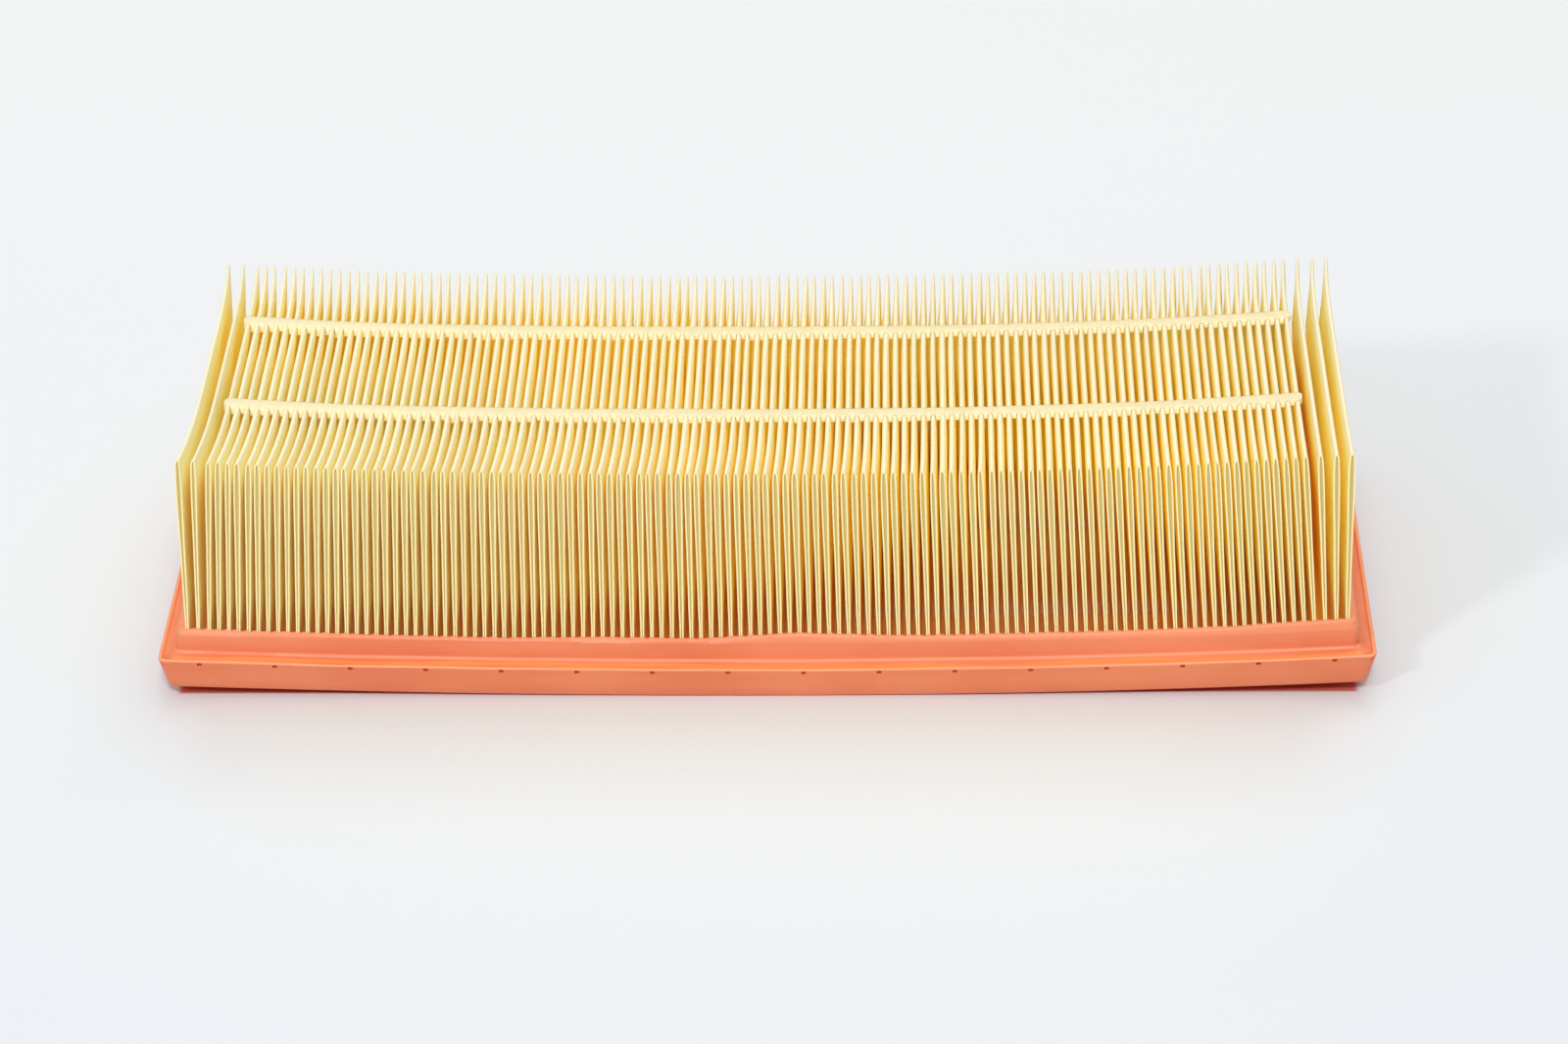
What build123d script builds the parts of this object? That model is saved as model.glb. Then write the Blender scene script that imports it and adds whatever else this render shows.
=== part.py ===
from build123d import *
import os

# A rectangular panel air-filter element for a car engine.
#
# One long sheet of filter paper is folded into deep upright pleats. Strips of hot melt
# glue hold the folds at their spacing, more glue closes the two open ends of every
# pleat, and a soft polyurethane frame is moulded round the foot of the pack. The frame
# is the gasket that the filter housing clamps.
#
# Millimetres, +X along the pack, +Y across it, +Z up. The origin is at the middle of
# the flat underside of the frame.

# ---- the whole element ----
overall_length = 345.0
overall_width = 135.0
overall_height = 70.0

# ---- polyurethane frame ----
rim_height = 9.4  # top of the outer lip
rim_corner_radius = 3.4
draft_x = 2.1  # each end leans in by this much towards the underside
draft_y = 1.1  # and so does each long side
lip_width = 1.4
lip_fillet = 0.25
groove_depth = 0.5  # shallow channel just inside the lip
groove_width = 0.8
collar_inset = 4.7  # from the rim to the upright wall of the collar
collar_corner_radius = 2.0
collar_foot = 10.2  # height where the slope up from the groove meets that wall
collar_shoulder = 15.2  # height where the wall turns in to the crown
collar_top = 16.9
crown_run = 1.0  # how far the crown slopes in
crown_fillet = 0.4
ledge_height = 2.4  # the pack stands on this inner ledge
ledge_width = 3.0
underside_chamfer = 0.7

# ---- mould marks in the two long faces of the rim ----
mark_count = 16
mark_spacing = 21.4
mark_width = 1.3
mark_height = 1.1
mark_depth = 0.6
mark_top = 8.7

# ---- pleat pack ----
pleat_count = 118
pack_depth = 122.4  # along Y, between the two cut edges of the sheet
paper_thickness = 0.45
pleat_width = 1.4  # outside of one pleat, both walls
foot_pitch = 2.809
crest_pitch = 2.7232
first_held = 2  # the pleats before this one are loose at the crest
last_held = 114  # and so are those after this one
held_middle_x = -2.0  # the held crests are not quite central
loose_crest_pitch = 4.3  # the loose pleats at both ends fan out

# ---- hot-melt strips across the folds ----
strip_spacing = 51.2  # between the middles of the front and rear strips
strip_width = 4.2
strip_depth = 2.5
strip_skin = 0.3  # glue that covers the folds
strip_overhang = 0.35  # glue past the outermost pleat held

# ---- hot-melt seams in the ends of the pleats ----
seam_recess = 0.35
seam_depth = 3.0

# ---- worked out from the above ----
last_pleat = pleat_count - 1
half_pack = pack_depth / 2
fold_radius = pleat_width / 2
fold_inner_radius = fold_radius - paper_thickness
root_radius = (foot_pitch - pleat_width) / 2
root_outer_radius = root_radius + paper_thickness
crest_top = overall_height - strip_skin
crest_centre = crest_top - fold_radius
root_centre = ledge_height + root_outer_radius


def foot_x(index):
    """X of the middle of a pleat at the bottom of the pack."""
    return (index - last_pleat / 2) * foot_pitch


def crest_x(index):
    """X of the middle of a pleat at its crest."""
    held = min(max(index, first_held), last_held)
    held_x = held_middle_x + (held - (first_held + last_held) / 2) * crest_pitch
    return held_x + (index - held) * loose_crest_pitch


def pleat_x(index, height):
    """X of the middle of a pleat at any height."""
    share = (height - root_centre) / (crest_centre - root_centre)
    return foot_x(index) + share * (crest_x(index) - foot_x(index))


def over_pleat(index, radius, low):
    """One side of the sheet over a pleat: up a wall, round the fold and down again."""
    crest = crest_x(index)
    foot = pleat_x(index, low)
    with BuildLine() as side:
        Line((foot - radius, low), (crest - radius, crest_centre))
        ThreePointArc(
            (crest - radius, crest_centre),
            (crest, crest_centre + radius),
            (crest + radius, crest_centre),
        )
        Line((crest + radius, crest_centre), (foot + radius, low))
    return side.edges()


def under_gap(index, half_width, radius):
    """One side of the sheet under the gap between a pleat and the next one along."""
    left = foot_x(index) + half_width
    right = foot_x(index + 1) - half_width
    with BuildLine() as side:
        ThreePointArc(
            (left, root_centre),
            ((left + right) / 2, root_centre - radius),
            (right, root_centre),
        )
    return side.edges()


def run(*points):
    """Straight edges through a few points."""
    with BuildLine() as line:
        Polyline(*points)
    return line.edges()


def sheet_outline():
    """The folded sheet seen from the front: a thin zigzag with round folds."""
    edges = []
    for radius, gap_radius in (
        (fold_radius, root_radius),
        (fold_inner_radius, root_outer_radius),
    ):
        for pleat in range(pleat_count):
            edges += over_pleat(pleat, radius, root_centre)
        for gap in range(last_pleat):
            edges += under_gap(gap, radius, gap_radius)
    for side, pleat in ((-1, 0), (1, last_pleat)):
        outer = foot_x(pleat) + side * fold_radius
        inner = foot_x(pleat) + side * fold_inner_radius
        edges += run(
            (outer, root_centre), (outer, ledge_height), (inner, ledge_height), (inner, root_centre)
        )
    return edges


def top_strip_outline():
    """A strip across the crests: a level top and a comb of crest shapes below it."""
    low = crest_top - strip_depth
    left = pleat_x(first_held, low) - fold_radius - strip_overhang
    right = pleat_x(last_held, low) + fold_radius + strip_overhang
    edges = run(
        (pleat_x(first_held, low) - fold_radius, low),
        (left, low),
        (left, overall_height),
        (right, overall_height),
        (right, low),
        (pleat_x(last_held, low) + fold_radius, low),
    )
    for pleat in range(first_held, last_held + 1):
        edges += over_pleat(pleat, fold_radius, low)
    for pleat in range(first_held, last_held):
        edges += run(
            (pleat_x(pleat, low) + fold_radius, low),
            (pleat_x(pleat + 1, low) - fold_radius, low),
        )
    return edges


def bottom_strip_outline():
    """A strip across the roots: a level underside, with glue pressed up into each pleat."""
    low = ledge_height - strip_skin
    high = root_centre + strip_depth - root_outer_radius
    left = foot_x(first_held) - fold_inner_radius
    right = foot_x(last_held) + fold_inner_radius
    edges = run((left, root_centre), (left, low), (right, low), (right, root_centre))
    for pleat in range(first_held, last_held + 1):
        foot = foot_x(pleat)
        x = pleat_x(pleat, high)
        edges += run(
            (foot - fold_inner_radius, root_centre),
            (x - fold_inner_radius, high),
            (x + fold_inner_radius, high),
            (foot + fold_inner_radius, root_centre),
        )
    for gap in range(first_held, last_held):
        edges += under_gap(gap, fold_inner_radius, root_outer_radius)
    return edges


def finish(builder, name):
    """Name a finished piece, write it and say how big it is."""
    builder.part.label = name
    export_step(builder.part, f"parts/{name}.step")
    print(name, len(builder.solids()), "solids,", round(builder.part.volume), "mm3")


os.makedirs("parts", exist_ok=True)

# ================================================================ seal_frame
# A drafted flange with a lip and a shallow groove, then a collar that grips the foot of
# the pack. A pocket takes the pack, and a ledge is left under its edge.
with BuildPart() as seal_frame:
    for low, low_inset, high in (
        (0, underside_chamfer, underside_chamfer),
        (underside_chamfer, 0, rim_height),
    ):
        for height, inset in ((low, low_inset), (high, 0)):
            lean = 1 - height / rim_height
            with BuildSketch(Plane.XY.offset(height)):
                RectangleRounded(
                    overall_length - 2 * (draft_x * lean + inset),
                    overall_width - 2 * (draft_y * lean + inset),
                    rim_corner_radius,
                )
        loft(ruled=True)

    # the groove floor, which the collar then rises from
    with BuildSketch(Plane.XY.offset(rim_height)):
        RectangleRounded(
            overall_length - 2 * lip_width, overall_width - 2 * lip_width, collar_corner_radius
        )
    extrude(amount=-groove_depth, mode=Mode.SUBTRACT)

    for low, high, low_inset, high_inset in (
        (rim_height - groove_depth, collar_foot, lip_width + groove_width, collar_inset),
        (collar_foot, collar_shoulder, collar_inset, collar_inset),
        (collar_shoulder, collar_top, collar_inset, collar_inset + crown_run),
    ):
        for height, inset in ((low, low_inset), (high, high_inset)):
            with BuildSketch(Plane.XY.offset(height)):
                RectangleRounded(
                    overall_length - 2 * inset, overall_width - 2 * inset, collar_corner_radius
                )
        loft(ruled=True)

    fillet(
        seal_frame.edges().filter_by_position(Axis.Z, rim_height, rim_height), radius=lip_fillet
    )
    fillet(
        seal_frame.edges().filter_by_position(Axis.Z, collar_shoulder, collar_shoulder),
        radius=crown_fillet,
    )

    # the pocket follows the lean of the two end pleats
    pocket_top = collar_top + crown_run
    with BuildSketch(Plane.XZ):
        Polygon(
            (foot_x(0) - fold_radius, ledge_height),
            (foot_x(last_pleat) + fold_radius, ledge_height),
            (foot_x(last_pleat) + fold_radius, root_centre),
            (pleat_x(last_pleat, pocket_top) + fold_radius, pocket_top),
            (pleat_x(0, pocket_top) - fold_radius, pocket_top),
            (foot_x(0) - fold_radius, root_centre),
            align=None,
        )
    extrude(amount=half_pack, both=True, mode=Mode.SUBTRACT)

    with BuildSketch(Plane.XY):
        Rectangle(
            2 * (foot_x(last_pleat) + fold_radius - ledge_width), 2 * (half_pack - ledge_width)
        )
    extrude(amount=ledge_height, mode=Mode.SUBTRACT)

    with Locations((0, 0, mark_top - mark_height / 2)):
        with GridLocations(mark_spacing, overall_width, mark_count, 2):
            Box(mark_width, 2 * mark_depth, mark_height, mode=Mode.SUBTRACT)
finish(seal_frame, "seal_frame")

# ================================================================ pleated_paper
# The whole sheet is one solid: its outline pulled through the depth of the pack.
sheet = sheet_outline()
with BuildPart() as pleated_paper:
    with BuildSketch(Plane.XZ):
        make_face(sheet)
    extrude(amount=half_pack, both=True)
finish(pleated_paper, "pleated_paper")

# ================================================================ edge seams
# A bead of glue fills each pleat just behind the cut edge of the sheet, so that no air
# passes round the ends of the pleats. One node holds the seams of one edge.
seams = []
for pleat in range(pleat_count):
    foot = foot_x(pleat)
    across = run((foot + fold_inner_radius, root_centre), (foot - fold_inner_radius, root_centre))
    seams.append(over_pleat(pleat, fold_inner_radius, root_centre) + across)

seam_face = half_pack - seam_recess
for name, nearer_face in (
    ("front_edge_seams", seam_face - seam_depth),
    ("rear_edge_seams", -seam_face),
):
    with BuildPart() as edge_seams:
        with BuildSketch(Plane.XZ.offset(nearer_face)):
            for seam in seams:
                make_face(seam)
        extrude(amount=seam_depth)
    finish(edge_seams, name)

# ================================================================ spacer strips
# Two strips cross the crests and two cross the roots. Each is pressed into the folds.
for level, outline in (("top", top_strip_outline()), ("bottom", bottom_strip_outline())):
    for side, middle in (("front", strip_spacing / 2), ("rear", -strip_spacing / 2)):
        with BuildPart() as strip:
            with BuildSketch(Plane.XZ.offset(middle)):
                make_face(outline)
            extrude(amount=strip_width / 2, both=True)
        finish(strip, f"{level}_strip_{side}")
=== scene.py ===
# %% [markdown]
# # A panel air filter
# This is the element that sits in the airbox of a car engine: a deep pack of folded
# paper, held by strips of glue, standing in a soft orange frame. The CAD model gives
# every size. Here each piece is modelled again with the bends, the sag and the finish
# of a real one, and stays where its CAD node is.

# %% Load the CAD model
import math

import bpy
import numpy as np
from mathutils import Matrix, Vector, noise


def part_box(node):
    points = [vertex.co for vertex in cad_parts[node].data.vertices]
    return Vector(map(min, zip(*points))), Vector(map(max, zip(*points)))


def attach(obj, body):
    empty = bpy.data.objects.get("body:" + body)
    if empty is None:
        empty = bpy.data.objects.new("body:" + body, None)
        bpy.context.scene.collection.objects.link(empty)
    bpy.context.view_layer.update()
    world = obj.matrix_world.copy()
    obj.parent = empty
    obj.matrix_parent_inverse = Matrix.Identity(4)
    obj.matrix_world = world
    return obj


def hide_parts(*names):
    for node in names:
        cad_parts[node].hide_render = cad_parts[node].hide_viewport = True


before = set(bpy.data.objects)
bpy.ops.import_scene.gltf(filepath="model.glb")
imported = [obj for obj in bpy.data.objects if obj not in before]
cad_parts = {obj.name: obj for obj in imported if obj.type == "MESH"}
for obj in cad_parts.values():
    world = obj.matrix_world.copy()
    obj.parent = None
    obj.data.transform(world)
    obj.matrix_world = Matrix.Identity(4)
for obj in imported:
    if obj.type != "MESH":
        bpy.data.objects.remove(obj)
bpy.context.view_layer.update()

mm = 0.001
paper_low, paper_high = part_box("pleated_paper")
rim_low, rim_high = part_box("seal_frame")
strip_low, strip_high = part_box("top_strip_front")
seam_low, seam_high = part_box("front_edge_seams")
half_length = rim_high.x
half_width = rim_high.y
print("nodes:", sorted(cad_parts))

# %% [markdown]
# ## The bow of the element
# A loose element does not lie flat: the strips pull the crests together, so that its two
# ends stand off the table, the right one a little more than the left. The frame rises
# with the square of the distance from the middle. The finishes use these numbers as
# well, because some colours follow the bowed edges.

# %% Bow
bow = 3.95  # mm that both ends stand up
bow_tilt = 0.4  # mm more at the right end and less at the left
crest_bow = 2.8  # mm more that the colours of the crests rise at both ends
print("the ends stand", round(bow - bow_tilt, 2), "and", round(bow + bow_tilt, 2), "mm off the table")

# %% [markdown]
# ## Small helpers
# Blender's operators act on everything that is selected, so each new piece begins with
# nothing selected. Points are read and written as one array, which is quick enough for
# a sheet of paper with tens of thousands of them.


# %% Helpers for modelling
def begin():
    """Leave edit mode and deselect everything."""
    if bpy.context.object and bpy.context.object.mode != "OBJECT":
        bpy.ops.object.mode_set(mode="OBJECT")
    bpy.ops.object.select_all(action="DESELECT")


def named(name):
    """Give the primitive just added its name, and its place to its mesh."""
    piece = bpy.context.object
    piece.name = name
    piece.data.name = name
    bpy.ops.object.transform_apply(location=True, rotation=True, scale=True)
    return piece


def points(piece):
    """All the points of a mesh, one row each."""
    flat = np.empty(len(piece.data.vertices) * 3)
    piece.data.vertices.foreach_get("co", flat)
    return flat.reshape(-1, 3)


def put_points(piece, places):
    """Write the points of a mesh back."""
    piece.data.vertices.foreach_set("co", np.ascontiguousarray(places).ravel())
    piece.data.update()


def apply_modifier(piece, kind, **settings):
    """Add a modifier, set it and apply it."""
    modifier = piece.modifiers.new(kind.lower(), kind)
    for key, value in settings.items():
        setattr(modifier, key, value)
    bpy.context.view_layer.objects.active = piece
    bpy.ops.object.modifier_apply(modifier=modifier.name)


def repeat(piece, count, step, weld=0.0):
    """Repeat a piece in a row, and weld neighbours whose points lie within weld."""
    apply_modifier(
        piece,
        "ARRAY",
        count=count,
        use_relative_offset=False,
        use_constant_offset=True,
        constant_offset_displace=step,
        use_merge_vertices=weld > 0,
        merge_threshold=weld,
    )


def edit(piece):
    """Go into edit mode on one piece alone."""
    begin()
    piece.select_set(True)
    bpy.context.view_layer.objects.active = piece
    bpy.ops.object.mode_set(mode="EDIT")


def tidy_normals(piece):
    """Turn every face outwards."""
    edit(piece)
    bpy.ops.mesh.select_all(action="SELECT")
    bpy.ops.mesh.normals_make_consistent(inside=False)
    bpy.ops.object.mode_set(mode="OBJECT")


def hand_in(piece, node, material, angle=40):
    """Smooth a finished piece, give it its finish and let it stand for its CAD node."""
    begin()
    piece.select_set(True)
    bpy.context.view_layer.objects.active = piece
    bpy.ops.object.shade_smooth_by_angle(angle=math.radians(angle))
    piece.data.materials.clear()
    piece.data.materials.append(material)
    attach(piece, "root")
    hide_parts(node)
    print(piece.name, "stands for", node, "with", len(piece.data.polygons), "faces")


# %% [markdown]
# ## Shader helpers
# A finish is a graph of nodes. Written as sums on wrapped sockets, its maths reads like
# maths, and one method makes every other kind of node. The light of the room is a graph
# too, so the part that both need is a class of its own.


# %% Helpers for finishes
class Value:
    """A node's output that can be used in sums with numbers and other outputs."""

    def __init__(self, graph, socket):
        self.graph = graph
        self.socket = socket

    def sum(self, operation, first, second):
        """A maths node that works on two numbers or outputs."""
        node = self.graph.add("ShaderNodeMath", {"operation": operation}, {0: first, 1: second})
        return node[0]

    def __add__(self, other):
        return self.sum("ADD", self, other)

    def __sub__(self, other):
        return self.sum("SUBTRACT", self, other)

    def __mul__(self, other):
        return self.sum("MULTIPLY", self, other)

    def __rsub__(self, other):
        return self.sum("SUBTRACT", other, self)

    __radd__ = __add__
    __rmul__ = __mul__


class Graph:
    """A tree of nodes under construction."""

    def __init__(self, tree, shader):
        self.tree = tree
        self.shader = tree.nodes[shader]

    def add(self, kind, settings, sockets):
        """Make a node, set it and join it; its outputs come back wrapped, by name or number."""
        node = self.tree.nodes.new(kind)
        for key, value in settings.items():
            setattr(node, key, value)
        for key, value in sockets.items():
            self.feed(node.inputs[key], value)
        outputs = {socket.name: Value(self, socket) for socket in node.outputs}
        outputs.update({number: Value(self, socket) for number, socket in enumerate(node.outputs)})
        return outputs

    def feed(self, socket, value):
        """Put a number or colour in a socket, or join an output to it."""
        if isinstance(value, Value):
            self.tree.links.new(value.socket, socket)
        else:
            socket.default_value = value

    def set(self, **sockets):
        """Feed the shader; underscores stand for spaces in a socket's name."""
        for key, value in sockets.items():
            self.feed(self.shader.inputs[key.replace("_", " ")], value)


class Finish(Graph):
    """A material under construction."""

    def __init__(self, name):
        self.material = bpy.data.materials.new(name)
        self.material.use_nodes = True
        super().__init__(self.material.node_tree, "Principled BSDF")
        self.place = self.add("ShaderNodeTexCoord", {}, {})["Object"]

    def stretched(self, x, y, z):
        """Object coordinates multiplied along each axis."""
        sums = {"operation": "MULTIPLY"}
        return self.add("ShaderNodeVectorMath", sums, {0: self.place, 1: (x, y, z)})[0]

    def grain(self, scale, detail=2.0, place=None, distortion=0.0):
        """Soft noise from 0 to 1, with features of about 1 / scale metres."""
        sockets = {
            "Vector": place or self.place,
            "Scale": scale,
            "Detail": detail,
            "Distortion": distortion,
        }
        return self.add("ShaderNodeTexNoise", {}, sockets)[0]

    def between(self, value, low, high):
        """0 below the low value, 1 above the high one and smooth between them."""
        settings = {"interpolation_type": "SMOOTHSTEP", "clamp": True}
        return self.add("ShaderNodeMapRange", settings, {0: value, 1: low, 2: high})[0]

    def blend(self, factor, first, second):
        """Mix two colours."""
        settings = {"data_type": "RGBA", "clamp_factor": True}
        node = self.add("ShaderNodeMix", settings, {0: factor, 6: first, 7: second})
        return node[2]

    def bump(self, height, strength, distance):
        """A normal made rough by a height."""
        sockets = {"Height": height, "Strength": strength, "Distance": distance}
        return self.add("ShaderNodeBump", {}, sockets)["Normal"]

    def axes(self):
        """The three object coordinates in millimetres."""
        split = self.add("ShaderNodeSeparateXYZ", {}, {0: self.place})
        return [split[axis] * (1.0 / mm) for axis in range(3)]

    def size_of(self, value):
        """A value without its sign."""
        return value.sum("ABSOLUTE", value, 0.0)

    def band(self, value, low, high, soft):
        """1 between two values and 0 outside them, with soft sides."""
        return self.between(value, low - soft, low) * self.below(value, high, high + soft)

    def below(self, value, low, high):
        """1 below the low value, 0 above the high one and smooth between them."""
        return 1.0 - self.between(value, low, high)

    def unbent_height(self, x, z):
        """Height in millimetres, less the rise that the colours of the crests follow."""
        share = x * (mm / half_length)
        square = share * share
        return z - square * bow - square * square * crest_bow


# %% [markdown]
# ## The filter paper
# Filter paper is wood pulp set with a little resin. It is cream where light falls
# straight on it. Deep between two folds light has bounced from wall to wall, and each
# bounce takes out more blue and green, which is what turns the gaps amber. So the
# colour is a warm cream, and most of the depth of colour is left to the light, which is
# allowed enough bounces. Soft masks in object coordinates then add painted light and
# shade: painted shade at the foot by the orange frame, on the walls near the front
# left and in the wide gap, a tan painted shade that tones down the lit crests, and
# painted light on the rear ends. The cut edges are tinted too. The fibres show as a
# faint mottle and a fine tooth.


# %% Filter paper
cream = ((0.97, 0.915, 0.52, 1), (0.972, 0.94, 0.62, 1))
crest_shade_tan = ((0.95, 0.85, 0.55, 1), (0.955, 0.87, 0.60, 1))
cut_tan = ((0.975, 0.85, 0.43, 1), (0.98, 0.865, 0.465, 1))
foot_shade_amber = (0.922, 0.70, 0.225, 1)
front_left_shade_ochre = (0.935, 0.82, 0.39, 1)
rear_light_cream = (0.96, 0.93, 0.80, 1)
wide_gap_shade_amber = (0.96, 0.84, 0.32, 1)


def wide_gap(paper, x, z):
    """Where the wide gap is, beside the last fold that is glued."""
    gap_middle = x - 157.6 + z * 0.072
    return paper.below(paper.size_of(gap_middle), 1.5, 2.3) * paper.below(z, 52.0, 70.0)


def paper_colour(paper, mottle, cut, wide):
    """The colour of the sheet: cream, with tints and painted light and shade that follow the shape of
    the pack.
    """
    x, y, z = paper.axes()
    colour = paper.blend(mottle, *cream)
    # painted shade: towards the foot, by the orange frame, the walls are painted amber
    colour = paper.blend(paper.below(z, 12.0, 29.0), colour, foot_shade_amber)
    # painted shade: near the front, towards the left, the walls are painted a darker ochre
    front_left_shade_mask = paper.between(0.0 - y, 40.0, 56.0) * paper.below(x, -30.0, 70.0)
    front_left_shade_mask = front_left_shade_mask * paper.between(z, 18.0, 46.0) * paper.below(z, 60.0, 69.0)
    colour = paper.blend(front_left_shade_mask, colour, front_left_shade_ochre)
    # painted shade: the lit crests are painted tan, which tones them down
    crest = paper.between(paper.unbent_height(x, z), 66.4, 69.0)
    colour = paper.blend(crest, colour, paper.blend(mottle, *crest_shade_tan))
    # painted light: the rear ends are painted paler
    rear_light_mask = paper.between(y, 38.0, 58.0) * paper.between(z, 54.0, 68.0)
    colour = paper.blend(rear_light_mask * 0.4, colour, rear_light_cream)
    colour = paper.blend(cut, colour, paper.blend(mottle, *cut_tan))
    # painted shade: the wide gap is painted a deeper amber
    return paper.blend(wide, colour, wide_gap_shade_amber)


# %% [markdown]
# The sheet also lets some light through. True light through 236 thin walls would take
# very long to settle, so a very faint painted glow stands for it and lifts the shade in
# the gaps: brown at the foot, golden higher up, and stronger in some parts of the pack
# than in others.


# %% Painted glow for the light that comes through the sheet
foot_glow = (0.24, 0.09, 0.0, 1)
wall_glow = (0.6, 0.42, 0.02, 1)
wide_gap_glow = (0.45, 0.22, 0.0, 1)
deep_glow = (0.58, 0.47, 0.03, 1)
black = (0.0, 0.0, 0.0, 1)


def paper_glow(paper, wide):
    """The colour of the painted glow that stands for light through the sheet."""
    x, y, z = paper.axes()
    glow = paper.blend(paper.between(z, 4.0, 38.0), foot_glow, wall_glow)
    glow = paper.blend(wide, glow, wide_gap_glow)
    amount = 0.08 + 0.36 * paper.between(x, -120.0, -10.0) - 0.15 * paper.between(x, 110.0, 150.0)
    right = paper.between(x, 5.0, 70.0) * (1.0 - 0.75 * paper.between(x, 106.0, 142.0))
    amount = amount + 0.23 * right * paper.between(0.0 - y, -5.0, 45.0)
    behind = paper.between(y, -8.0, 22.0)
    amount = amount + 0.30 * behind * paper.below(x, -70.0, -10.0)
    amount = amount - 0.18 * behind * paper.between(x, 5.0, 60.0)
    # painted light: one group of gaps right of the middle glows golden down to the bottom, towards
    # the rear
    deep = paper.band(x, 58.0, 100.0, 14.0) * paper.below(z, 34.0, 52.0)
    deep = deep * paper.between(y, -12.0, 12.0)
    glow = paper.blend(deep, glow, deep_glow)
    return paper.blend(amount + 0.20 * deep, black, glow)


# %% Put the paper together
def make_filter_paper():
    paper = Finish("filter_paper")
    x, y, z = paper.axes()
    cloudy = paper.grain(70.0, 4.0)
    fibres = paper.grain(2600.0, 3.0, paper.stretched(1.0, 0.25, 1.0), 0.4)
    mottle = paper.between(cloudy * 0.6 + fibres * 0.4, 0.3, 0.7)
    cut = paper.between(paper.size_of(y), 60.75, 61.1)
    wide = wide_gap(paper, x, z) * (1.0 - cut)
    tooth = paper.grain(3800.0, 4.0)
    paper.set(
        Base_Color=paper_colour(paper, mottle, cut, wide),
        Roughness=0.75 + fibres * 0.15,
        Normal=paper.bump(tooth + fibres * 0.8, 0.35, 0.00006),
        Specular_IOR_Level=0.3,
        Emission_Color=paper_glow(paper, wide),
        Emission_Strength=0.075,
    )
    return paper.material


filter_paper = make_filter_paper()
print("made", filter_paper.name)

# %% [markdown]
# ## The hot melt
# The glue is a waxy resin, squeezed out molten and frozen in place. It is a little
# duller and greener than the paper and has a soft shine with shallow ripples. Where a
# strip runs down between the crests, its side is painted a shade paler: painted light
# that lifts the shade between the crests.


# %% Hot melt
def make_hot_melt(name, light, deep, low, shine):
    """Glue mottled between two colours on the crests, and of a third colour below them, which for the
    strips is painted light.
    """
    glue = Finish(name)
    x, _, z = glue.axes()
    top = glue.between(glue.unbent_height(x, z), 69.35, 69.75)
    cloudy = glue.grain(260.0, 3.0)
    ripples = glue.grain(900.0, 2.0, glue.stretched(1.0, 0.6, 0.3))
    colour = glue.blend(glue.between(cloudy, 0.3, 0.7), deep, light)
    glue.set(
        Base_Color=glue.blend(top, low, colour),
        Roughness=0.42 + ripples * 0.2,
        Normal=glue.bump(ripples, 0.25, 0.0001),
        Specular_IOR_Level=shine,
    )
    return glue.material


strip_light = (0.88, 0.775, 0.46, 1)
strip_deep = (0.84, 0.72, 0.41, 1)
strip_side_painted_light = (0.87, 0.77, 0.47, 1)
strip_glue = make_hot_melt("strip_hot_melt", strip_light, strip_deep, strip_side_painted_light, 0.4)
seam_light = (0.63, 0.50, 0.19, 1)
seam_deep = (0.55, 0.42, 0.14, 1)
seam_glue = make_hot_melt("seam_hot_melt", seam_light, seam_deep, seam_light, 0.12)
print("made", strip_glue.name, seam_glue.name)

# %% [markdown]
# ## The polyurethane
# The frame is poured as a foaming liquid and sets with a thin skin. It is an even
# orange with faint clouds, a satin skin and very fine pits from the foam. Painted
# highlights make the lip and the foot of the collar paler, painted light brightens the
# crown of the collar and the groove, and painted shade darkens the mould marks and the
# underside. All of these run along the moulding, so they are found from two
# distances: up from its bowed underside and in from its rim.


# %% Polyurethane
foam_light = (0.86, 0.262, 0.118, 1)
foam_deep = (0.79, 0.205, 0.088, 1)
groove_painted_light = (0.97, 0.30, 0.085, 1)
lip_painted_highlight = (0.97, 0.36, 0.17, 1)
collar_foot_painted_highlight = (0.96, 0.37, 0.19, 1)
crown_painted_light = (0.94, 0.34, 0.175, 1)
mark_painted_shade = (0.80, 0.12, 0.03, 1)
underside_painted_shade = (0.82, 0.13, 0.04, 1)


def frame_distances(foam):
    """Height above the bowed underside, inset from the nearest side, and from the ends."""
    x, y, z = foam.axes()
    share = x * (mm / half_length)
    square = share * share
    level = z - square * bow - square * share * bow_tilt
    end_inset = half_length / mm - foam.size_of(x)
    side_inset = half_width / mm - foam.size_of(y)
    return level, end_inset.sum("MINIMUM", end_inset, side_inset), end_inset


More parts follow.
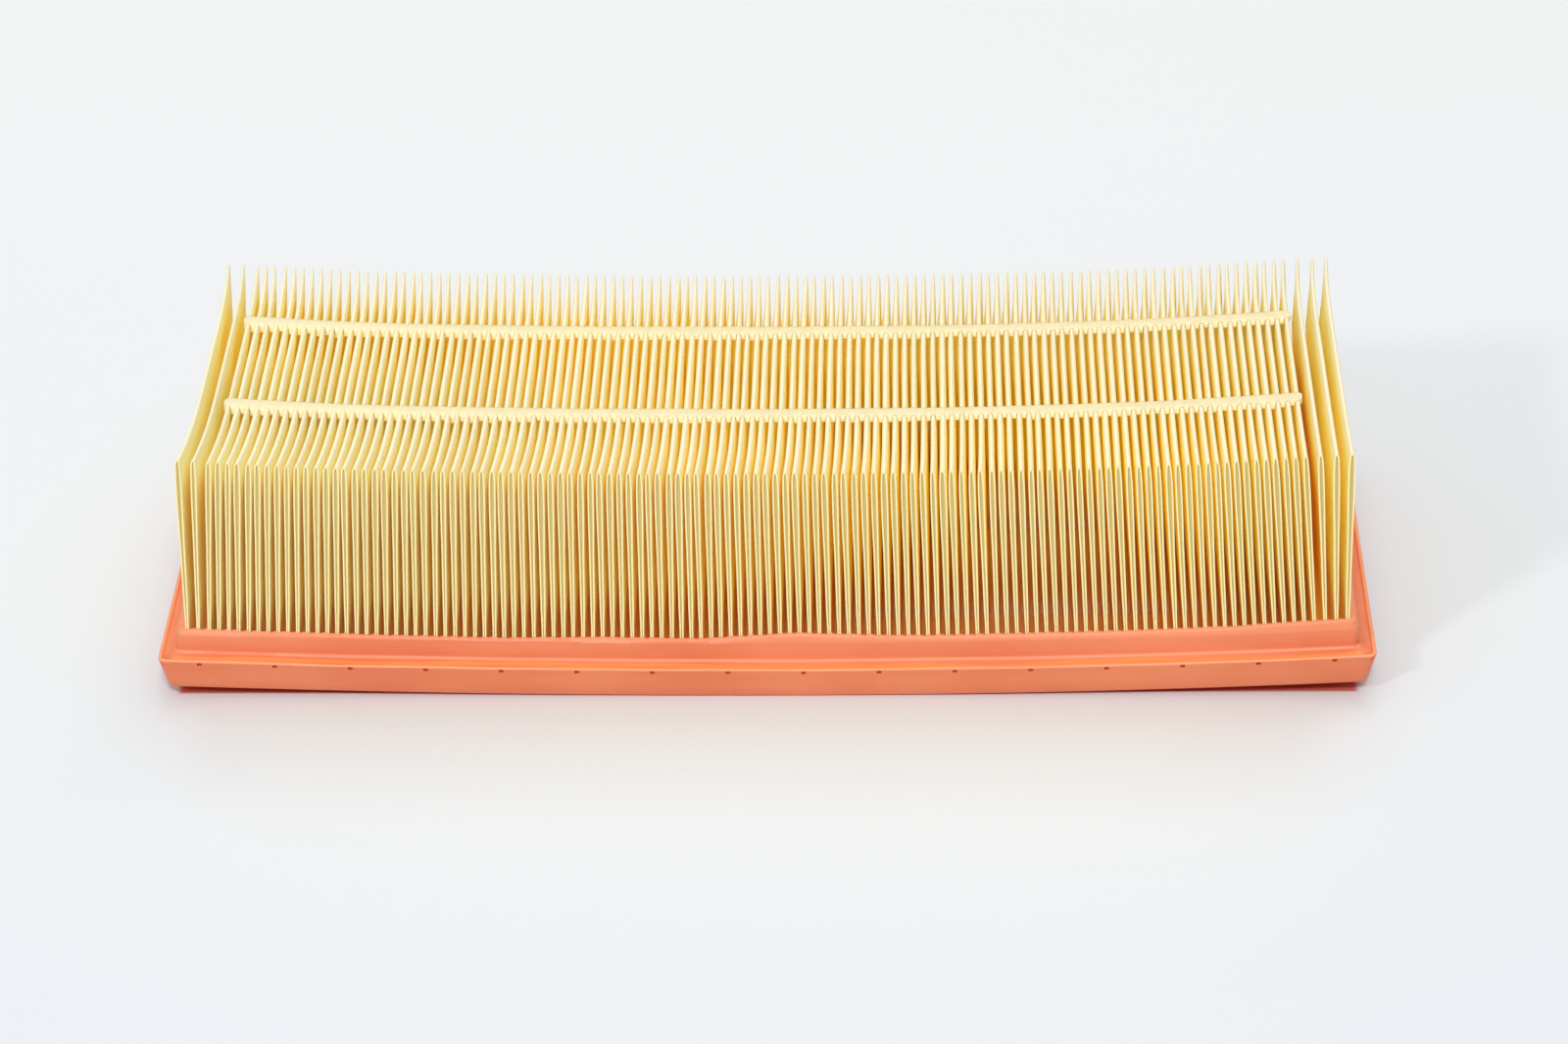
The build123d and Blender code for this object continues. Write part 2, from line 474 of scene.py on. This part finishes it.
def foam_colour(foam, cloudy, streaks):
    """The colour of the frame, with painted light and shade along the moulding."""
    level, inset, end_inset = frame_distances(foam)
    colour = foam.blend(
        foam.between(cloudy * 0.5 + streaks * 0.5, 0.35, 0.65), foam_deep, foam_light
    )
    # painted light: the band in the groove comes and goes, and is absent at the ends
    wander = (foam.grain(22.0, 2.0, foam.stretched(1.0, 0.2, 0.2)) - 0.5) * 4.0
    groove = foam.band(inset + wander, 1.9, 3.1, 0.5) * foam.band(level, 8.5, 9.7, 0.5)
    groove = groove * foam.between(end_inset - inset, 0.5, 3.0)
    colour = foam.blend(groove * 0.9, colour, groove_painted_light)
    # painted highlight along the lip
    lip = foam.between(level, 8.9, 9.15) * foam.below(inset, 0.8, 1.2)
    colour = foam.blend(lip, colour, lip_painted_highlight)
    # painted highlight at the foot of the collar
    foot = foam.band(level, 9.75, 10.2, 0.3) * foam.between(inset, 3.9, 4.3)
    colour = foam.blend(foot * 0.5, colour, collar_foot_painted_highlight)
    # painted light on the crown of the collar
    crown = foam.between(level + streaks * 1.5, 15.6, 16.6) * foam.below(inset, 7.2, 7.8)
    colour = foam.blend(crown * 0.4, colour, crown_painted_light)
    # painted shade in the mould marks
    mark = foam.band(level, 7.6, 8.86, 0.06) * foam.band(inset, 0.36, 2.0, 0.12)
    colour = foam.blend(mark, colour, mark_painted_shade)
    # painted shade on the underside
    return foam.blend(foam.below(level, 0.15, 0.6), colour, underside_painted_shade)


def make_polyurethane():
    foam = Finish("orange_polyurethane")
    cloudy = foam.grain(28.0, 4.0)
    streaks = foam.grain(60.0, 3.0, foam.stretched(0.25, 1.0, 2.0))
    pits = foam.grain(1700.0, 3.0)
    foam.set(
        Base_Color=foam_colour(foam, cloudy, streaks),
        Roughness=0.36 + streaks * 0.14,
        Normal=foam.bump(pits + cloudy * 2.0, 0.16, 0.00012),
        Specular_IOR_Level=0.4,
    )
    return foam.material


polyurethane = make_polyurethane()
print("made", polyurethane.name)

# %% [markdown]
# ## How the pack is bent
# On paper the pack is a row of equal folds. A real one has been handled: the element
# is bowed so that its two ends stand off the table, the strips draw the crests closer
# together than the feet, and the folds spring apart again at the front and the rear.
# The last few folds are free and fan out, and between the strips the walls wander. One
# function of pleat number, depth and height gives the middle of a fold, and every piece
# of the pack uses it, so the glue stays in the folds.

# %% Where the folds are
pleat_count = 118
last_pleat = pleat_count - 1
paper_thickness = 0.42 * mm
cad_pleat_width = 1.4 * mm
foot_pitch = (paper_high.x - paper_low.x - cad_pleat_width) / last_pleat
first_held = 2  # the pleats outside these two are free at the crest
last_held = 114
strip_overhang = 0.35 * mm
strip_end = strip_overhang + cad_pleat_width / 2
crest_pitch = (strip_high.x - strip_low.x - 2 * strip_end) / (last_held - first_held)
held_middle = (strip_high.x + strip_low.x) / 2
loose_pitch = 4.3 * mm
half_depth = paper_high.y
crest_level = paper_high.z - paper_thickness / 2
root_level = paper_low.z + paper_thickness / 2
foot_level = root_level + foot_pitch / 2 - cad_pleat_width / 2
print("foot pitch, crest pitch, mm:", round(foot_pitch / mm, 3), round(crest_pitch / mm, 3))

# %% How much each fold differs
dice = np.random.RandomState(118)
front_slip = dice.normal(0.0, 0.14 * mm, pleat_count)
middle_slip = dice.normal(0.0, 0.06 * mm, pleat_count)
rear_slip = dice.normal(0.0, 0.16 * mm, pleat_count)
fatness = 1.0 + dice.normal(0.0, 0.07, pleat_count)
bulge_size = dice.normal(0.0, 0.05 * mm, (3, pleat_count))
bulge_turn = dice.uniform(0.0, 2 * math.pi, (3, pleat_count))
print("fold widths differ by up to", round(float(np.abs(fatness - 1.0).max()) * 100), "%")


# %% How the folds are bent
def lift(x, rise=0.0):
    """How far the frame stands off the table at x, and the pack at a share of its height."""
    share = x / half_length
    frame_lift = (bow * share**2 + bow_tilt * share**3) * mm
    held = np.clip(share, -0.88, 0.88)
    pack_lift = np.where(held < 0, 2.6 * mm * held**6, 2.5 * mm * held**4)
    return frame_lift + rise * (pack_lift - 0.1 * mm)


def end_share(y, side):
    """0 in the middle of the pack, and up to 1 at its front (side -1) or rear (side 1)."""
    still = 15 * mm
    return np.clip((side * y - still) / (half_depth - still), 0.0, 1.0) ** 3


def bulge(pleat, y, z):
    """How far the walls of a fold wander below the crest."""
    depth = (crest_level - z) / mm
    belly = np.clip((depth - 3) / 7, 0.0, 1.0) * np.clip((62 - depth) / 12, 0.0, 1.0)
    hump = np.exp(-(((y - 37 * mm) / (17 * mm)) ** 2))
    ends = np.clip(2.5 * (1 - np.abs(y) / half_depth), 0.0, 1.0)
    own = 0.0
    for i, length in enumerate((41 * mm, 57 * mm, 83 * mm)):
        own = own + bulge_size[i, pleat] * np.sin(2 * math.pi * y / length + bulge_turn[i, pleat])
    return ends * belly * (own - 1.6 * mm * hump)


def pleat_middle(pleat, y, z):
    """X of the middle of a fold."""
    rise = np.clip((z - foot_level) / (crest_level - foot_level), 0.0, 1.0)
    foot = (pleat - last_pleat / 2) * foot_pitch
    held = np.clip(pleat, first_held, last_held)
    crest = held_middle + (held - (first_held + last_held) / 2) * crest_pitch
    crest = crest + (pleat - held) * loose_pitch
    front, rear = end_share(y, -1), end_share(y, 1)
    drawn = np.clip(0.9 * mm - 0.0086 * foot, -0.2 * mm, 2.1 * mm)
    spread = 0.0095 * foot
    slip = drawn * (1 - front) + spread * rear
    slip = slip + front * front_slip[pleat] + rear * rear_slip[pleat]
    slip = slip + (1 - front - rear) * middle_slip[pleat]
    return foot + rise * (crest - foot + slip) + bulge(pleat, y, z)


# %% [markdown]
# ## The pleated sheet
# The sheet is one strip of paper folded 118 times. It could be drawn fold by fold, but
# it is quicker to draw one fold as a line of points, pull that line through the depth
# of the pack, and repeat it in a row whose neighbours are welded together. The fold is
# a blunt blade: a tight crease at the crest, full just below it, and slim at the foot.

# %% One fold, drawn point by point
# distance below the crest and half width of the fold, down one side
fold_side = [
    (0.00, 0.000),
    (0.06, 0.170),
    (0.25, 0.320),
    (0.70, 0.450),
    (1.80, 0.560),
    (5.00, 0.670),
    (11.0, 0.700),
    (18.0, 0.640),
    (26.0, 0.520),
    (36.0, 0.460),
    (44.0, 0.420),
    (50.5, 0.290),
]
fold_line = [(width * mm, crest_level - drop * mm) for drop, width in fold_side]
root_half = foot_pitch / 2
foot_half = fold_line[-1][0]
root_drop = foot_level - root_level
eighth = math.sqrt(0.5)  # the root is a quarter of a round, drawn in two steps
fold_line += [
    (foot_half, foot_level),
    (root_half - (root_half - foot_half) * eighth, foot_level - root_drop * eighth),
    (root_half, root_level),
]
outline = [(-x, z) for x, z in reversed(fold_line)] + fold_line[1:]

begin()
first_x = -last_pleat / 2 * foot_pitch
start = Vector((first_x + outline[0][0], -half_depth, outline[0][1]))
bpy.ops.mesh.primitive_plane_add(size=mm, location=start)
sheet = named("filter_paper_sheet")
bpy.ops.object.mode_set(mode="EDIT")
bpy.ops.mesh.select_all(action="SELECT")
bpy.ops.mesh.merge(type="CENTER")
for (x, z), (next_x, next_z) in zip(outline, outline[1:]):
    bpy.ops.mesh.extrude_vertices_move(
        TRANSFORM_OT_translate={"value": (next_x - x, 0, next_z - z)}
    )
print("one fold has", len(outline), "points")

# %% Pull it through the pack and repeat it
depth_stations = [-61.2, -59, -55, -49, -41, -31, -20, -8, 5, 18, 30, 41, 51, 57, 61.2]
depth_scale = half_depth / depth_stations[-1]
bpy.ops.mesh.select_all(action="SELECT")
for here, there in zip(depth_stations, depth_stations[1:]):
    step = (there - here) * depth_scale
    bpy.ops.mesh.extrude_region_move(TRANSFORM_OT_translate={"value": (0, step, 0)})
bpy.ops.object.mode_set(mode="OBJECT")
repeat(sheet, pleat_count, (foot_pitch, 0, 0), 0.01 * mm)
print("the sheet has", len(sheet.data.vertices), "points")


# %% Bend the sheet as the pack is bent
def bend_into_pack(piece):
    """Move a row of equal folds to where the real ones are."""
    places = points(piece)
    x, y, z = places[:, 0], places[:, 1], places[:, 2]
    pleat = np.clip(np.round(x / foot_pitch + last_pleat / 2), 0, last_pleat).astype(int)
    across = x - (pleat - last_pleat / 2) * foot_pitch
    rise = np.clip((z - foot_level) / (crest_level - foot_level), 0.0, 1.0)
    swell = 1.0 + (fatness[pleat] - 1.0) * np.clip(rise * 3.0, 0.0, 1.0)
    # the folds are pinched together at the rear
    swell = swell * (1.0 - 0.5 * end_share(y, 1) * rise)
    new_x = pleat_middle(pleat, y, z) + across * swell
    put_points(piece, np.stack([new_x, y, z + lift(new_x, rise)], axis=1))


bend_into_pack(sheet)
apply_modifier(sheet, "SOLIDIFY", thickness=paper_thickness, offset=0.0)
tidy_normals(sheet)
hand_in(sheet, "pleated_paper", filter_paper)

# %% [markdown]
# ## The seams in the ends of the folds
# Before the sheet is folded, a ribbon of glue is laid near each cut edge. Folding
# presses it into a thin core that fills each fold. Only its end is seen, a dull line
# between two paper edges. One core is a narrow grid shaped to the inside of a fold,
# given its depth, and repeated.


# %% Edge seams
def make_seam(name, node, y_face, inward):
    """A row of glue cores whose outer faces lie near y_face."""
    paper_half = paper_thickness / 2
    thinnest = 0.06 * mm
    levels = [(0.48 * mm, thinnest)]
    for drop, width in fold_side[3:]:
        levels.append((drop * mm, max(width * mm - paper_half, thinnest)))
    begin()
    bpy.ops.mesh.primitive_grid_add(x_subdivisions=2, y_subdivisions=len(levels) - 1, size=1)
    core = named(name)
    places = points(core)
    column = np.round(places[:, 0] * 2).astype(int)
    row = np.round((0.5 - places[:, 1]) * (len(levels) - 1)).astype(int)
    drop, width = np.array(levels)[row].T
    pressed = 0.02 * mm  # the glue reaches this far into the paper
    dish = 0.12 * mm * (column == 0) * inward
    new_x = first_x + column * (width + pressed)
    put_points(core, np.stack([new_x, y_face + dish, crest_level - drop], axis=1))
    bpy.ops.object.mode_set(mode="EDIT")
    bpy.ops.mesh.select_all(action="SELECT")
    seam_depth = seam_high.y - seam_low.y
    bpy.ops.mesh.extrude_region_move(
        TRANSFORM_OT_translate={"value": (0, inward * seam_depth, 0)}
    )
    bpy.ops.object.mode_set(mode="OBJECT")
    repeat(core, pleat_count, (foot_pitch, 0, 0))
    bend_into_pack(core)
    tidy_normals(core)
    hand_in(core, node, seam_glue)


make_seam("front_seam_cores", "front_edge_seams", seam_low.y, 1)
make_seam("rear_seam_cores", "rear_edge_seams", -seam_low.y, -1)

# %% [markdown]
# ## The strips across the folds
# The strips are laid molten over the folded pack. The glue lies level on the crests,
# runs down a little way between them, and freezes with a scalloped near edge. One pitch
# of the strip is a short open tube of seven rings with ten points each. It is repeated
# and welded like the sheet, every ring is shaped to its place on the fold, and the two
# ends are closed.

# %% Spacer strips
strip_half = (strip_high.y - strip_low.y) / 2
strip_reach = strip_high.z - strip_low.z
# position along one pitch, from gap to gap, and how far the glue has run down there
strip_samples = [
    (-0.5, 1.0),
    (-0.3, 0.95),
    (-0.22, 0.35),
    (-0.1, 0.14),
    (0.1, 0.14),
    (0.22, 0.35),
    (0.3, 0.95),
]
# round the strip: across it, as a share of its half width; the glue that has run down
# between two crests stands further forward; and height, as a share of the run
strip_round = [
    (0.98, 0.00, 0.30),
    (0.85, 0.00, 0.04),
    (0.30, 0.00, 0.00),
    (-0.40, 0.00, 0.00),
    (-0.85, 0.03, 0.03),
    (-1.04, 0.14, 0.09),
    (-1.16, 0.24, 0.26),
    (-1.16, 0.27, 0.66),
    (0.00, 0.00, 1.00),
    (0.98, 0.04, 1.00),
]


def make_strip(name, node, y_middle, upper):
    """A strip across the crests, or across the roots when upper is False."""
    held = last_held - first_held + 1
    rings = len(strip_samples) * held + 1
    sides = len(strip_round)
    begin()
    bpy.ops.mesh.primitive_cylinder_add(
        vertices=sides, radius=mm, depth=mm, end_fill_type="NOTHING"
    )
    strip = named(name)
    bpy.ops.object.mode_set(mode="EDIT")
    bpy.ops.mesh.select_all(action="DESELECT")
    bpy.ops.object.mode_set(mode="OBJECT")
    for edge in strip.data.edges:
        edge.select = all(strip.data.vertices[v].co.z > 0 for v in edge.vertices)
    for vertex in strip.data.vertices:
        vertex.select = vertex.co.z > 0
    bpy.ops.object.mode_set(mode="EDIT")
    for _ in range(len(strip_samples) - 1):
        bpy.ops.mesh.extrude_region_move(TRANSFORM_OT_translate={"value": (0, 0, mm)})
    bpy.ops.object.mode_set(mode="OBJECT")
    repeat(strip, held, (0, 0, len(strip_samples) * mm), 0.1 * mm)
    old = points(strip)
    ring = np.round(old[:, 2] / mm + 0.5).astype(int)
    turn = np.arctan2(old[:, 0], old[:, 1]) / (2 * math.pi) * sides
    corner = np.round(turn).astype(int) % sides
    pleat = np.minimum(ring // len(strip_samples), held - 1) + first_held
    sample = ring % len(strip_samples)
    last = ring == rings - 1
    share = np.where(last, 0.5, np.array(strip_samples)[sample, 0])
    run = np.where(last, 1.0, np.array(strip_samples)[sample, 1])
    shape = np.array(strip_round)[corner]
    wobble = np.random.RandomState(3 + int(upper) + 2 * int(y_middle > 0))
    drips = wobble.normal(0.0, 0.10, held + 2)[pleat - first_held + (share > 0)]
    blunt = wobble.normal(0.0, 0.04 * mm, (rings, 2))[ring]
    # a real strip swells and narrows where the nozzle hesitated
    swell = 1 + 0.05 * np.sin(ring * 0.043) + 0.03 * np.sin(ring * 0.017 + 2)
    # the glue has run further down towards the left end of the crests
    left = np.clip(0.5 - pleat / held, 0.0, 0.4) / 0.4
    run = run * (1 + drips * (run > 0.5)) * (1.0 + 0.4 * upper * left)
    across = strip_half * swell * (shape[:, 0] - shape[:, 1] * (run > 0.5)) + blunt[:, 0]
    dip = 0.05 * mm * (run > 0.5) * (shape[:, 2] < 0.1)
    down = strip_reach * run * shape[:, 2] + dip + blunt[:, 1] * (shape[:, 2] < 0.1) * 0.5
    end = np.minimum(ring, rings - 1 - ring)
    across = across * np.where(end == 0, 0.55, np.where(end == 1, 0.85, 1.0))
    y = y_middle + across
    if upper:
        z = strip_high.z - down
        rise, pitch, level = 1.0, crest_pitch, crest_level
    else:
        z = paper_low.z - 0.3 * mm + down
        rise, pitch, level = 0.0, foot_pitch, foot_level
    x = pleat_middle(pleat, y, np.full(len(z), level)) + share * pitch
    put_points(strip, np.stack([x, y, z + lift(x, rise)], axis=1))
    edit(strip)
    bpy.ops.mesh.select_all(action="DESELECT")
    bpy.ops.mesh.select_non_manifold()
    bpy.ops.mesh.edge_face_add()
    bpy.ops.object.mode_set(mode="OBJECT")
    tidy_normals(strip)
    hand_in(strip, node, strip_glue, 50)


strip_y = (strip_high.y + strip_low.y) / 2
make_strip("crest_strip_front", "top_strip_front", strip_y, True)
make_strip("crest_strip_rear", "top_strip_rear", -strip_y, True)
make_strip("root_strip_front", "bottom_strip_front", strip_y, False)
make_strip("root_strip_rear", "bottom_strip_rear", -strip_y, False)

# %% [markdown]
# ## The seal frame
# The frame is one moulding with the same section all the way round. Its outline at the
# underside is drawn as a plane with rounded corners, cut into short lengths so that it
# can sag. The outline is then extruded step by step round the section, and scaled at
# each step by the amount that the section moves in or out.

# %% Outline of the frame
# inset from the widest outline along X and along Y, and height
ledge = (10.4, 9.3)
frame_section = [
    (*ledge, 0.0),
    (2.9, 1.9, 0.0),
    (2.45, 1.45, 0.22),
    (2.15, 1.15, 0.7),
    (1.1, 0.6, 4.7),
    (0.2, 0.12, 8.4),
    (0.0, 0.0, 8.8),
    (0.1, 0.1, 9.2),
    (0.36, 0.36, 9.42),
    (0.85, 0.85, 9.42),
    (1.15, 1.15, 9.25),
    (1.5, 1.5, 8.95),
    (2.6, 2.6, 9.0),
    (3.9, 3.9, 9.45),
    (4.45, 4.45, 9.8),
    (4.66, 4.66, 10.3),
    (4.72, 4.72, 11.0),
    (4.8, 4.8, 14.7),
    (4.98, 4.98, 15.3),
    (5.4, 5.35, 16.1),
    (5.9, 5.75, 16.7),
    (6.8, 6.25, 16.95),
    (8.0, 6.9, 16.6),
    (8.0, 6.9, 2.35),
    (*ledge, 2.35),
]
full_size = Vector((rim_high.x - rim_low.x, rim_high.y - rim_low.y, 0))
corner_radius = 2.2 * mm


def outline_size(step):
    """Length and width of the outline at a step of the section."""
    return full_size.x - 2 * step[0] * mm, full_size.y - 2 * step[1] * mm


begin()
bpy.ops.mesh.primitive_plane_add(size=1)
bpy.context.object.scale = (*outline_size(frame_section[0]), 1)
rim = named("polyurethane_frame")
bpy.ops.object.mode_set(mode="EDIT")
bpy.ops.mesh.select_all(action="SELECT")
bpy.ops.mesh.bevel(affect="VERTICES", offset=corner_radius, segments=5)
bpy.ops.mesh.delete(type="ONLY_FACE")
bpy.ops.object.mode_set(mode="OBJECT")
for long_side, cuts in ((True, 93), (False, 35)):
    begin()
    rim.select_set(True)
    for vertex in rim.data.vertices:
        vertex.select = False
    for edge in rim.data.edges:
        a, b = (rim.data.vertices[v].co for v in edge.vertices)
        span = abs(a.x - b.x) if long_side else abs(a.y - b.y)
        edge.select = span > 50 * mm
        if edge.select:
            for v in edge.vertices:
                rim.data.vertices[v].select = True
    bpy.ops.object.mode_set(mode="EDIT")
    bpy.ops.mesh.select_mode(type="EDGE")
    bpy.ops.mesh.subdivide(number_cuts=cuts)
    bpy.ops.mesh.subdivide(number_cuts=2)
    bpy.ops.object.mode_set(mode="OBJECT")
print("the outline has", len(rim.data.vertices), "points")

# %% Run the outline round the section
bpy.ops.object.mode_set(mode="EDIT")
bpy.ops.mesh.select_all(action="SELECT")
for here, there in zip(frame_section, frame_section[1:]):
    bpy.ops.mesh.extrude_region_move(
        TRANSFORM_OT_translate={"value": (0, 0, (there[2] - here[2]) * mm)}
    )
    (old_length, old_width), (length, width) = outline_size(here), outline_size(there)
    bpy.ops.transform.resize(value=(length / old_length, width / old_width, 1))
bpy.ops.mesh.select_mode(type="VERT")
bpy.ops.object.mode_set(mode="OBJECT")
places = points(rim)
print("frame now has", len(places), "points; height", round(places[:, 2].max() / mm, 2))

# %% Close the section
edit(rim)
bpy.ops.mesh.select_all(action="DESELECT")
bpy.ops.mesh.select_non_manifold()
bpy.ops.mesh.bridge_edge_loops()
bpy.ops.object.mode_set(mode="OBJECT")
tidy_normals(rim)


# %% [markdown]
# The moulding is not perfect. The foam creeps up each pleat at the collar, the slope
# above the groove is a little wavy, and the whole frame sags with the pack.


# %% Unevenness of the moulding
def uneven(x, y, seed, size):
    """Smooth unevenness from -1 to 1 with bumps of about the given size."""
    return noise.noise(Vector((x / size, y / size, seed)))


# how far the edge of the collar stands above or below its mean, along the frame
collar_edge = [
    (-172, 0.0), (-146, -0.7), (-104, -0.8), (-75, -1.1), (-46, -0.5), (-18, -0.8),
    (8, 1.0), (24, 0.5), (43, 0.0), (101, 0.1), (131, 0.4), (149, 1.1), (172, 1.5),
]
edge_x, edge_rise = np.array(collar_edge).T * mm
places = points(rim)
for place in places:
    x, y, z = place
    level = z / mm
    if 8.97 < level < 11.5:
        place[2] += 0.3 * mm * uneven(x, y, 1.0, 34 * mm)
    if 15.2 < level < 17.2:
        creep = math.cos(2 * math.pi * (x / foot_pitch + last_pleat / 2))
        near = min(max((level - 16.2) / 0.6, 0.0), 1.0)
        place[2] += near * (0.2 * creep * mm + 0.3 * mm * uneven(x, y, 4.0, 2.2 * mm))
        place[2] += 0.25 * mm * uneven(x, y, 7.0, 42 * mm)
        place[2] += min(1.0, (level - 15.2) / 0.8) * np.interp(x, edge_x, edge_rise)
    if 3.0 < level < 16.0:
        place[1] += 0.10 * mm * uneven(x, z, 9.0, 30 * mm)
places[:, 2] += lift(places[:, 0])
put_points(rim, places)

# %% [markdown]
# Small vent pips in the mould leave a row of notches under the lip. One notch is a
# bevelled cube, repeated along the side and cut out of the frame.

# %% Mould marks
mark_count = 16
mark_spacing = 21.4 * mm
for side in (-1, 1):
    begin()
    first_mark = -(mark_count - 1) / 2 * mark_spacing
    mark_place = (first_mark, side * full_size.y / 2, 8.35 * mm)
    bpy.ops.mesh.primitive_cube_add(size=1, location=mark_place)
    bpy.context.object.scale = (1.4 * mm, 2.2 * mm, 1.0 * mm)
    mark = named("mould_mark")
    bpy.ops.object.mode_set(mode="EDIT")
    bpy.ops.mesh.select_all(action="SELECT")
    bpy.ops.mesh.bevel(offset=0.22 * mm, segments=2)
    bpy.ops.object.mode_set(mode="OBJECT")
    repeat(mark, mark_count, (mark_spacing, 0, 0))
    places = points(mark)
    places[:, 2] += lift(places[:, 0])
    put_points(mark, places)
    apply_modifier(rim, "BOOLEAN", operation="DIFFERENCE", solver="EXACT", object=mark)
    bpy.data.objects.remove(mark)
hand_in(rim, "seal_frame", polyurethane, 35)

# %% [markdown]
# ## The table, the light and the camera
# The element stands on a white sweep in soft light, with painted shade towards the
# camera and a dark red painted shadow under the element. The brightest lamp is a small
# softbox above and in front. A large weak one stands behind, and a small lamp from the
# left gives the faint shadow to the right. The room is dark near the ground and white
# overhead. The camera looks down at the long side.

# %% Floor
begin()
bpy.ops.mesh.primitive_plane_add(size=8.0, location=(0, 0, -0.02 * mm))
floor = named("studio_floor")
sweep = Finish("white_sweep")
x, y, _ = sweep.axes()
mottled = sweep.blend(sweep.grain(2.0, 2.0), (0.868, 0.875, 0.87, 1), (0.878, 0.885, 0.88, 1))
# painted shade: towards the camera the floor is painted darker and bluer, which evens out the light
# on it
near_painted_shade = (0.71, 0.74, 0.775, 1)
colour = sweep.blend(sweep.between(y, -420.0, 700.0), near_painted_shade, mottled)
# painted shadow: under the whole element the table is painted dark red, as shade
# tinted by the light that comes down through the foam; it shows only where the bowed
# ends leave a slit
beside = sweep.between(sweep.size_of(x), 166.5, 168.5)
before = sweep.between(sweep.size_of(y), 63.4, 64.6)
shadow_beneath = (1.0 - beside) * (1.0 - before)
sweep.set(
    Base_Color=sweep.blend(shadow_beneath, colour, (0.55, 0.15, 0.105, 1)),
    Roughness=0.45,
    Specular_IOR_Level=0.3,
)
floor.data.materials.append(sweep.material)

# %% Lights
world = bpy.data.worlds.new("studio")
bpy.context.scene.world = world
world.use_nodes = True
room = Graph(world.node_tree, "Background")
sky = room.add("ShaderNodeTexCoord", {}, {})["Generated"]
height = room.add("ShaderNodeSeparateXYZ", {}, {0: sky})[2]
fade = room.add("ShaderNodeMapRange", {}, {0: height, 1: 0.12, 2: 0.7, 3: 0.04, 4: 0.68})[0]
room.set(Color=(0.985, 0.99, 1.0, 1), Strength=fade)


def softbox(name, direction, distance, size, brightness):
    """A square area light that shines on the element from a direction."""
    light = bpy.data.lights.new(name, "AREA")
    light.size = size
    # the power that makes a white face turned to the lamp this bright
    light.energy = brightness * math.pi**2 * distance**2
    lamp = bpy.data.objects.new(name, light)
    bpy.context.collection.objects.link(lamp)
    lamp.location = Vector(direction).normalized() * distance
    lamp.rotation_euler = (-lamp.location).to_track_quat("-Z", "Y").to_euler()


softbox("front_softbox", (0.04, -0.7, 0.75), 6.0, 1.0, 0.43)
softbox("rear_softbox", (0.1, 0.5, 0.9), 6.0, 3.5, 0.21)
softbox("left_lamp", (-0.518, -0.651, 0.555), 3.0, 0.3, 0.21)

# %% Camera
camera_place = Vector((43.3, -1348.4, 775.6)) * mm
camera_aim = Vector((3.93, 0.0, 19.54)) * mm
camera_roll = math.radians(-0.968)
facing = (camera_aim - camera_place).to_track_quat("-Z", "Y").to_matrix()
turned = facing @ Matrix.Rotation(camera_roll, 3, "Z")
lens = bpy.data.cameras.new("camera")
lens.lens = 121.2
lens.sensor_width = 36.0
lens.clip_start = 0.05
camera = bpy.data.objects.new("camera", lens)
bpy.context.collection.objects.link(camera)
camera.matrix_world = Matrix.Translation(camera_place) @ turned.to_4x4()
bpy.context.scene.camera = camera

# %% Light bounces and tone
scene = bpy.context.scene
scene.cycles.max_bounces = 40
scene.cycles.diffuse_bounces = 40
scene.view_settings.view_transform = "Standard"
scene.view_settings.look = "None"
